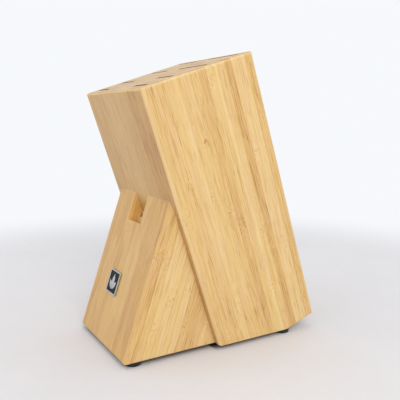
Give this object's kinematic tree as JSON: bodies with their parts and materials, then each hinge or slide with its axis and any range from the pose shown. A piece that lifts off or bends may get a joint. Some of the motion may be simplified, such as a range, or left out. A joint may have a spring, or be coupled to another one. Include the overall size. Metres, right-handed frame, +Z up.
{
  "type": "knife block",
  "caption": "Leaning bamboo knife block with slots through a layered body, a wedge front foot with a shears slot, and round rubber feet.",
  "frame": {"origin": "on the ground, under the middle of the block's bounding box", "axes": "+Z up; -Y to the front, where the wedge foot and the badge are; +X to the right-hand side seen from the front"},
  "size_m": [0.114, 0.1818, 0.239],
  "materials": {
    "bamboo_boards": "satin clear lacquer over laminated bamboo",
    "bamboo_strips": "satin clear lacquer over laminated bamboo",
    "dowel_wood": "plain, glued in",
    "black_rubber": "matte",
    "screw_steel": "zinc plated",
    "badge_chrome": "bright, slightly brushed",
    "badge_enamel": "gloss",
    "adhesive_pad": "matte foam tape"
  },
  "bodies": {
    "root": {"front_board": "bamboo_boards", "second_board": "bamboo_boards", "third_board": "bamboo_boards", "fourth_board": "bamboo_boards", "back_board": "bamboo_boards", "paring_row_left_strip": "bamboo_strips", "paring_row_middle_strip": "bamboo_strips", "paring_row_right_strip": "bamboo_strips", "utility_row_left_strip": "bamboo_strips", "utility_row_middle_strip": "bamboo_strips", "utility_row_right_strip": "bamboo_strips", "bread_row_left_strip": "bamboo_strips", "bread_row_middle_strip": "bamboo_strips", "bread_row_right_strip": "bamboo_strips", "carving_row_left_strip": "bamboo_strips", "carving_row_middle_strip": "bamboo_strips", "carving_row_right_strip": "bamboo_strips", "foot_left_cheek": "bamboo_boards", "foot_right_cheek": "bamboo_boards", "foot_core": "bamboo_boards", "shears_slot_strip": "bamboo_strips", "body_dowels": "dowel_wood", "cross_dowels": "dowel_wood", "rubber_foot_front_left": "black_rubber", "rubber_foot_front_right": "black_rubber", "rubber_foot_rear_left": "black_rubber", "rubber_foot_rear_right": "black_rubber", "foot_washers": "screw_steel", "foot_screws": "screw_steel", "badge_plate": "badge_chrome", "badge_enamel": "badge_enamel", "badge_pad": "adhesive_pad"}
  },
  "joints": []
}
